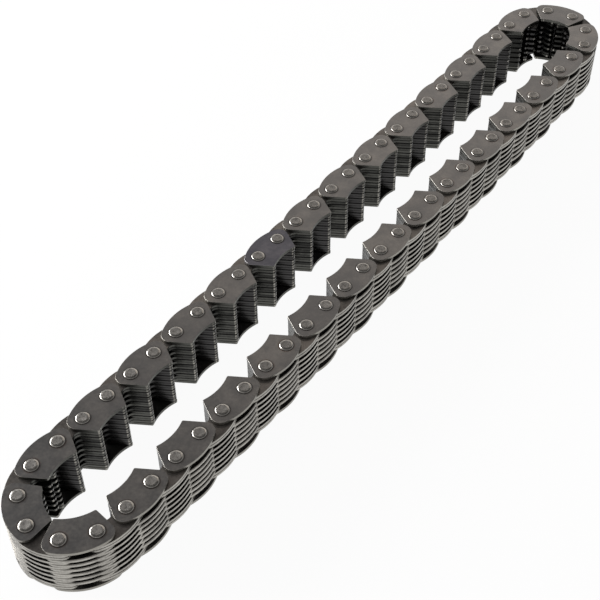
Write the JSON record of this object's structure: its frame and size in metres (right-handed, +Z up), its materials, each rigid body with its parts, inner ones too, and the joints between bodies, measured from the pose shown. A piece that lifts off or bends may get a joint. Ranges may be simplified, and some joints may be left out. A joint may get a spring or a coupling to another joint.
{
  "type": "silent chain",
  "caption": "Endless riveted silent chain of toothed link plates swinging on round pins, lying on its side, to run over two toothed sprockets inside its loop.",
  "frame": {"origin": "middle of the loop, on the plane that the lower rivet heads rest on", "axes": "+X along the straight strands, +Z up along the pins, +Y across the loop to the strand away from the camera"},
  "size_m": [0.2884, 0.038, 0.0187],
  "materials": {
    "guide_plate_steel": "satin",
    "inner_plate_steel": "satin",
    "pin_steel": "satin"
  },
  "bodies": {
    "double_link_far": {"double_link_far": "guide_plate_steel"},
    "double_link_near": {"double_link_near": "guide_plate_steel"},
    "guide_link_01": {"guide_link_01": "guide_plate_steel"},
    "guide_link_02": {"guide_link_02": "guide_plate_steel"},
    "guide_link_03": {"guide_link_03": "guide_plate_steel"},
    "guide_link_04": {"guide_link_04": "guide_plate_steel"},
    "guide_link_05": {"guide_link_05": "guide_plate_steel"},
    "guide_link_06": {"guide_link_06": "guide_plate_steel"},
    "guide_link_07": {"guide_link_07": "guide_plate_steel"},
    "guide_link_08": {"guide_link_08": "guide_plate_steel"},
    "guide_link_09": {"guide_link_09": "guide_plate_steel"},
    "guide_link_10": {"guide_link_10": "guide_plate_steel"},
    "guide_link_11": {"guide_link_11": "guide_plate_steel"},
    "guide_link_12": {"guide_link_12": "guide_plate_steel"},
    "guide_link_13": {"guide_link_13": "guide_plate_steel"},
    "guide_link_14": {"guide_link_14": "guide_plate_steel"},
    "guide_link_15": {"guide_link_15": "guide_plate_steel"},
    "guide_link_16": {"guide_link_16": "guide_plate_steel"},
    "guide_link_17": {"guide_link_17": "guide_plate_steel"},
    "guide_link_18": {"guide_link_18": "guide_plate_steel"},
    "guide_link_19": {"guide_link_19": "guide_plate_steel"},
    "guide_link_20": {"guide_link_20": "guide_plate_steel"},
    "guide_link_21": {"guide_link_21": "guide_plate_steel"},
    "guide_link_22": {"guide_link_22": "guide_plate_steel"},
    "guide_link_23": {"guide_link_23": "guide_plate_steel"},
    "guide_link_24": {"guide_link_24": "guide_plate_steel"},
    "guide_link_25": {"guide_link_25": "guide_plate_steel"},
    "guide_link_26": {"guide_link_26": "guide_plate_steel"},
    "guide_link_27": {"guide_link_27": "guide_plate_steel"},
    "guide_link_28": {"guide_link_28": "guide_plate_steel"},
    "guide_link_29": {"guide_link_29": "guide_plate_steel"},
    "inner_link_01": {"inner_link_01": "inner_plate_steel"},
    "inner_link_02": {"inner_link_02": "inner_plate_steel"},
    "inner_link_03": {"inner_link_03": "inner_plate_steel"},
    "inner_link_04": {"inner_link_04": "inner_plate_steel"},
    "inner_link_05": {"inner_link_05": "inner_plate_steel"},
    "inner_link_06": {"inner_link_06": "inner_plate_steel"},
    "inner_link_07": {"inner_link_07": "inner_plate_steel"},
    "inner_link_08": {"inner_link_08": "inner_plate_steel"},
    "inner_link_09": {"inner_link_09": "inner_plate_steel"},
    "inner_link_10": {"inner_link_10": "inner_plate_steel"},
    "inner_link_11": {"inner_link_11": "inner_plate_steel"},
    "inner_link_12": {"inner_link_12": "inner_plate_steel"},
    "inner_link_13": {"inner_link_13": "inner_plate_steel"},
    "inner_link_14": {"inner_link_14": "inner_plate_steel"},
    "inner_link_15": {"inner_link_15": "inner_plate_steel"},
    "inner_link_16": {"inner_link_16": "inner_plate_steel"},
    "inner_link_17": {"inner_link_17": "inner_plate_steel"},
    "inner_link_18": {"inner_link_18": "inner_plate_steel"},
    "inner_link_19": {"inner_link_19": "inner_plate_steel"},
    "inner_link_20": {"inner_link_20": "inner_plate_steel"},
    "inner_link_21": {"inner_link_21": "inner_plate_steel"},
    "inner_link_22": {"inner_link_22": "inner_plate_steel"},
    "inner_link_23": {"inner_link_23": "inner_plate_steel"},
    "inner_link_24": {"inner_link_24": "inner_plate_steel"},
    "inner_link_25": {"inner_link_25": "inner_plate_steel"},
    "inner_link_26": {"inner_link_26": "inner_plate_steel"},
    "inner_link_27": {"inner_link_27": "inner_plate_steel"},
    "inner_link_28": {"inner_link_28": "inner_plate_steel"},
    "inner_link_29": {"inner_link_29": "inner_plate_steel"}
  },
  "joints": [
    {"name": "hinge_15", "type": "hinge", "parent": "double_link_far", "child": "guide_link_01", "pos_m": [0.00705, 0.01415, 0.00937], "axis": [0, 0, 1], "range_deg": [-12, 12]},
    {"name": "hinge_16", "type": "hinge", "parent": "guide_link_01", "child": "inner_link_01", "pos_m": [0.01658, 0.01415, 0.00937], "axis": [0, 0, 1], "range_deg": [-12, 12]},
    {"name": "hinge_47", "type": "hinge", "parent": "guide_link_16", "child": "inner_link_15", "pos_m": [-0.01658, -0.01415, 0.00937], "axis": [0, 0, 1], "range_deg": [-12, 12]},
    {"name": "hinge_17", "type": "hinge", "parent": "inner_link_01", "child": "guide_link_02", "pos_m": [0.0261, 0.01415, 0.00937], "axis": [0, 0, 1], "range_deg": [-12, 12]},
    {"name": "hinge_18", "type": "hinge", "parent": "guide_link_02", "child": "inner_link_02", "pos_m": [0.03563, 0.01415, 0.00937], "axis": [0, 0, 1], "range_deg": [-12, 12]},
    {"name": "hinge_49", "type": "hinge", "parent": "guide_link_17", "child": "inner_link_16", "pos_m": [-0.03563, -0.01415, 0.00937], "axis": [0, 0, 1], "range_deg": [-12, 12]},
    {"name": "hinge_48", "type": "hinge", "parent": "inner_link_16", "child": "guide_link_16", "pos_m": [-0.0261, -0.01415, 0.00937], "axis": [0, 0, 1], "range_deg": [-12, 12]},
    {"name": "hinge_19", "type": "hinge", "parent": "inner_link_02", "child": "guide_link_03", "pos_m": [0.04515, 0.01415, 0.00937], "axis": [0, 0, 1], "range_deg": [-12, 12]},
    {"name": "hinge_20", "type": "hinge", "parent": "guide_link_03", "child": "inner_link_03", "pos_m": [0.05468, 0.01415, 0.00937], "axis": [0, 0, 1], "range_deg": [-12, 12]},
    {"name": "hinge_51", "type": "hinge", "parent": "guide_link_18", "child": "inner_link_17", "pos_m": [-0.05468, -0.01415, 0.00937], "axis": [0, 0, 1], "range_deg": [-12, 12]},
    {"name": "hinge_50", "type": "hinge", "parent": "inner_link_17", "child": "guide_link_17", "pos_m": [-0.04515, -0.01415, 0.00937], "axis": [0, 0, 1], "range_deg": [-12, 12]},
    {"name": "hinge_21", "type": "hinge", "parent": "inner_link_03", "child": "guide_link_04", "pos_m": [0.0642, 0.01415, 0.00937], "axis": [0, 0, 1], "range_deg": [-12, 12]},
    {"name": "hinge_22", "type": "hinge", "parent": "guide_link_04", "child": "inner_link_04", "pos_m": [0.07373, 0.01415, 0.00937], "axis": [0, 0, 1], "range_deg": [-12, 12]},
    {"name": "hinge_53", "type": "hinge", "parent": "guide_link_19", "child": "inner_link_18", "pos_m": [-0.07373, -0.01415, 0.00937], "axis": [0, 0, 1], "range_deg": [-12, 12]},
    {"name": "hinge_52", "type": "hinge", "parent": "inner_link_18", "child": "guide_link_18", "pos_m": [-0.0642, -0.01415, 0.00937], "axis": [0, 0, 1], "range_deg": [-12, 12]},
    {"name": "hinge_23", "type": "hinge", "parent": "inner_link_04", "child": "guide_link_05", "pos_m": [0.08325, 0.01415, 0.00937], "axis": [0, 0, 1], "range_deg": [-12, 12]},
    {"name": "hinge_24", "type": "hinge", "parent": "guide_link_05", "child": "inner_link_05", "pos_m": [0.09278, 0.01415, 0.00937], "axis": [0, 0, 1], "range_deg": [-12, 12]},
    {"name": "hinge_55", "type": "hinge", "parent": "guide_link_20", "child": "inner_link_19", "pos_m": [-0.09278, -0.01415, 0.00937], "axis": [0, 0, 1], "range_deg": [-12, 12]},
    {"name": "hinge_54", "type": "hinge", "parent": "inner_link_19", "child": "guide_link_19", "pos_m": [-0.08325, -0.01415, 0.00937], "axis": [0, 0, 1], "range_deg": [-12, 12]},
    {"name": "hinge_25", "type": "hinge", "parent": "inner_link_05", "child": "guide_link_06", "pos_m": [0.1023, 0.01415, 0.00937], "axis": [0, 0, 1], "range_deg": [-12, 12]},
    {"name": "hinge_26", "type": "hinge", "parent": "guide_link_06", "child": "inner_link_06", "pos_m": [0.11183, 0.01415, 0.00937], "axis": [0, 0, 1], "range_deg": [-12, 12]},
    {"name": "hinge_57", "type": "hinge", "parent": "guide_link_21", "child": "inner_link_20", "pos_m": [-0.11183, -0.01415, 0.00937], "axis": [0, 0, 1], "range_deg": [-12, 12]},
    {"name": "hinge_56", "type": "hinge", "parent": "inner_link_20", "child": "guide_link_20", "pos_m": [-0.1023, -0.01415, 0.00937], "axis": [0, 0, 1], "range_deg": [-12, 12]},
    {"name": "hinge_27", "type": "hinge", "parent": "inner_link_06", "child": "guide_link_07", "pos_m": [0.12135, 0.01415, 0.00937], "axis": [0, 0, 1], "range_deg": [-8, 8]},
    {"name": "hinge_28", "type": "hinge", "parent": "guide_link_07", "child": "inner_link_07", "pos_m": [0.13083, 0.01315, 0.00937], "axis": [0, 0, 1], "range_deg": [-8, 8]},
    {"name": "hinge_59", "type": "hinge", "parent": "guide_link_22", "child": "inner_link_21", "pos_m": [-0.13083, -0.01315, 0.00937], "axis": [0, 0, 1], "range_deg": [-8, 8]},
    {"name": "hinge_58", "type": "hinge", "parent": "inner_link_21", "child": "guide_link_21", "pos_m": [-0.12135, -0.01415, 0.00937], "axis": [0, 0, 1], "range_deg": [-8, 8]},
    {"name": "hinge_29", "type": "hinge", "parent": "inner_link_07", "child": "guide_link_08", "pos_m": [0.13823, 0.00716, 0.00937], "axis": [0, 0, 1], "range_deg": [-4, 1]},
    {"name": "hinge_30", "type": "hinge", "parent": "guide_link_08", "child": "inner_link_08", "pos_m": [0.14005, -0.00219, 0.00937], "axis": [0, 0, 1], "range_deg": [-1, 4]},
    {"name": "hinge_61", "type": "hinge", "parent": "guide_link_23", "child": "inner_link_22", "pos_m": [-0.14005, 0.00219, 0.00937], "axis": [0, 0, 1], "range_deg": [-4, 1]},
    {"name": "hinge_60", "type": "hinge", "parent": "inner_link_22", "child": "guide_link_22", "pos_m": [-0.13823, -0.00716, 0.00937], "axis": [0, 0, 1], "range_deg": [-1, 4]},
    {"name": "hinge_31", "type": "hinge", "parent": "inner_link_08", "child": "guide_link_09", "pos_m": [0.135, -0.01027, 0.00937], "axis": [0, 0, 1], "range_deg": [-7, 12]},
    {"name": "hinge_32", "type": "hinge", "parent": "guide_link_09", "child": "inner_link_09", "pos_m": [0.1263, -0.01415, 0.00937], "axis": [0, 0, 1], "range_deg": [-12, 7]},
    {"name": "hinge_01", "type": "hinge", "parent": "guide_link_24", "child": "inner_link_23", "pos_m": [-0.1263, 0.01415, 0.00937], "axis": [0, 0, 1], "range_deg": [-7, 12]},
    {"name": "hinge_62", "type": "hinge", "parent": "inner_link_23", "child": "guide_link_23", "pos_m": [-0.135, 0.01027, 0.00937], "axis": [0, 0, 1], "range_deg": [-12, 7]},
    {"name": "hinge_33", "type": "hinge", "parent": "inner_link_09", "child": "guide_link_10", "pos_m": [0.11677, -0.01415, 0.00937], "axis": [0, 0, 1], "range_deg": [-12, 12]},
    {"name": "hinge_34", "type": "hinge", "parent": "guide_link_10", "child": "inner_link_10", "pos_m": [0.10725, -0.01415, 0.00937], "axis": [0, 0, 1], "range_deg": [-12, 12]},
    {"name": "hinge_03", "type": "hinge", "parent": "guide_link_25", "child": "inner_link_24", "pos_m": [-0.10725, 0.01415, 0.00937], "axis": [0, 0, 1], "range_deg": [-12, 12]},
    {"name": "hinge_02", "type": "hinge", "parent": "inner_link_24", "child": "guide_link_24", "pos_m": [-0.11677, 0.01415, 0.00937], "axis": [0, 0, 1], "range_deg": [-12, 12]},
    {"name": "hinge_35", "type": "hinge", "parent": "inner_link_10", "child": "guide_link_11", "pos_m": [0.09772, -0.01415, 0.00937], "axis": [0, 0, 1], "range_deg": [-12, 12]},
    {"name": "hinge_36", "type": "hinge", "parent": "guide_link_11", "child": "inner_link_11", "pos_m": [0.0882, -0.01415, 0.00937], "axis": [0, 0, 1], "range_deg": [-12, 12]},
    {"name": "hinge_05", "type": "hinge", "parent": "guide_link_26", "child": "inner_link_25", "pos_m": [-0.0882, 0.01415, 0.00937], "axis": [0, 0, 1], "range_deg": [-12, 12]},
    {"name": "hinge_04", "type": "hinge", "parent": "inner_link_25", "child": "guide_link_25", "pos_m": [-0.09772, 0.01415, 0.00937], "axis": [0, 0, 1], "range_deg": [-12, 12]},
    {"name": "hinge_37", "type": "hinge", "parent": "inner_link_11", "child": "guide_link_12", "pos_m": [0.07867, -0.01415, 0.00937], "axis": [0, 0, 1], "range_deg": [-12, 12]},
    {"name": "hinge_38", "type": "hinge", "parent": "guide_link_12", "child": "inner_link_12", "pos_m": [0.06915, -0.01415, 0.00937], "axis": [0, 0, 1], "range_deg": [-12, 12]},
    {"name": "hinge_07", "type": "hinge", "parent": "guide_link_27", "child": "inner_link_26", "pos_m": [-0.06915, 0.01415, 0.00937], "axis": [0, 0, 1], "range_deg": [-12, 12]},
    {"name": "hinge_06", "type": "hinge", "parent": "inner_link_26", "child": "guide_link_26", "pos_m": [-0.07867, 0.01415, 0.00937], "axis": [0, 0, 1], "range_deg": [-12, 12]},
    {"name": "hinge_39", "type": "hinge", "parent": "inner_link_12", "child": "guide_link_13", "pos_m": [0.05962, -0.01415, 0.00937], "axis": [0, 0, 1], "range_deg": [-12, 12]},
    {"name": "hinge_40", "type": "hinge", "parent": "guide_link_13", "child": "inner_link_13", "pos_m": [0.0501, -0.01415, 0.00937], "axis": [0, 0, 1], "range_deg": [-12, 12]},
    {"name": "hinge_09", "type": "hinge", "parent": "guide_link_28", "child": "inner_link_27", "pos_m": [-0.0501, 0.01415, 0.00937], "axis": [0, 0, 1], "range_deg": [-12, 12]},
    {"name": "hinge_08", "type": "hinge", "parent": "inner_link_27", "child": "guide_link_27", "pos_m": [-0.05962, 0.01415, 0.00937], "axis": [0, 0, 1], "range_deg": [-12, 12]},
    {"name": "hinge_41", "type": "hinge", "parent": "inner_link_13", "child": "guide_link_14", "pos_m": [0.04057, -0.01415, 0.00937], "axis": [0, 0, 1], "range_deg": [-12, 12]},
    {"name": "hinge_42", "type": "hinge", "parent": "guide_link_14", "child": "inner_link_14", "pos_m": [0.03105, -0.01415, 0.00937], "axis": [0, 0, 1], "range_deg": [-12, 12]},
    {"name": "hinge_11", "type": "hinge", "parent": "guide_link_29", "child": "inner_link_28", "pos_m": [-0.03105, 0.01415, 0.00937], "axis": [0, 0, 1], "range_deg": [-12, 12]},
    {"name": "hinge_10", "type": "hinge", "parent": "inner_link_28", "child": "guide_link_28", "pos_m": [-0.04057, 0.01415, 0.00937], "axis": [0, 0, 1], "range_deg": [-12, 12]},
    {"name": "hinge_43", "type": "hinge", "parent": "inner_link_14", "child": "guide_link_15", "pos_m": [0.02152, -0.01415, 0.00937], "axis": [0, 0, 1], "range_deg": [-12, 12]},
    {"name": "hinge_44", "type": "hinge", "parent": "guide_link_15", "child": "double_link_near", "pos_m": [0.012, -0.01415, 0.00937], "axis": [0, 0, 1], "range_deg": [-12, 12]},
    {"name": "hinge_13", "type": "hinge", "parent": "double_link_far", "child": "inner_link_29", "pos_m": [-0.012, 0.01415, 0.00937], "axis": [0, 0, 1], "range_deg": [-12, 12]},
    {"name": "hinge_12", "type": "hinge", "parent": "inner_link_29", "child": "guide_link_29", "pos_m": [-0.02152, 0.01415, 0.00937], "axis": [0, 0, 1], "range_deg": [-12, 12]}
  ],
  "couplings": [
    {"joint": "hinge_16", "follows": "hinge_15", "ratio": -1},
    {"joint": "hinge_47", "follows": "hinge_15", "ratio": 1},
    {"joint": "hinge_18", "follows": "hinge_17", "ratio": -1},
    {"joint": "hinge_49", "follows": "hinge_17", "ratio": 1},
    {"joint": "hinge_48", "follows": "hinge_17", "ratio": -1},
    {"joint": "hinge_20", "follows": "hinge_19", "ratio": -1},
    {"joint": "hinge_51", "follows": "hinge_19", "ratio": 1},
    {"joint": "hinge_50", "follows": "hinge_19", "ratio": -1},
    {"joint": "hinge_22", "follows": "hinge_21", "ratio": -1},
    {"joint": "hinge_53", "follows": "hinge_21", "ratio": 1},
    {"joint": "hinge_52", "follows": "hinge_21", "ratio": -1},
    {"joint": "hinge_24", "follows": "hinge_23", "ratio": -1},
    {"joint": "hinge_55", "follows": "hinge_23", "ratio": 1},
    {"joint": "hinge_54", "follows": "hinge_23", "ratio": -1},
    {"joint": "hinge_26", "follows": "hinge_25", "ratio": -1},
    {"joint": "hinge_57", "follows": "hinge_25", "ratio": 1},
    {"joint": "hinge_56", "follows": "hinge_25", "ratio": -1},
    {"joint": "hinge_28", "follows": "hinge_27", "ratio": -1},
    {"joint": "hinge_59", "follows": "hinge_27", "ratio": 1},
    {"joint": "hinge_58", "follows": "hinge_27", "ratio": -1},
    {"joint": "hinge_30", "follows": "hinge_29", "ratio": -1},
    {"joint": "hinge_61", "follows": "hinge_29", "ratio": 1},
    {"joint": "hinge_60", "follows": "hinge_29", "ratio": -1},
    {"joint": "hinge_32", "follows": "hinge_31", "ratio": -1},
    {"joint": "hinge_01", "follows": "hinge_31", "ratio": 1},
    {"joint": "hinge_62", "follows": "hinge_31", "ratio": -1},
    {"joint": "hinge_34", "follows": "hinge_33", "ratio": -1},
    {"joint": "hinge_03", "follows": "hinge_33", "ratio": 1},
    {"joint": "hinge_02", "follows": "hinge_33", "ratio": -1},
    {"joint": "hinge_36", "follows": "hinge_35", "ratio": -1},
    {"joint": "hinge_05", "follows": "hinge_35", "ratio": 1},
    {"joint": "hinge_04", "follows": "hinge_35", "ratio": -1},
    {"joint": "hinge_38", "follows": "hinge_37", "ratio": -1},
    {"joint": "hinge_07", "follows": "hinge_37", "ratio": 1},
    {"joint": "hinge_06", "follows": "hinge_37", "ratio": -1},
    {"joint": "hinge_40", "follows": "hinge_39", "ratio": -1},
    {"joint": "hinge_09", "follows": "hinge_39", "ratio": 1},
    {"joint": "hinge_08", "follows": "hinge_39", "ratio": -1},
    {"joint": "hinge_42", "follows": "hinge_41", "ratio": -1},
    {"joint": "hinge_11", "follows": "hinge_41", "ratio": 1},
    {"joint": "hinge_10", "follows": "hinge_41", "ratio": -1},
    {"joint": "hinge_44", "follows": "hinge_43", "ratio": -1},
    {"joint": "hinge_13", "follows": "hinge_43", "ratio": 1},
    {"joint": "hinge_12", "follows": "hinge_43", "ratio": -1}
  ]
}
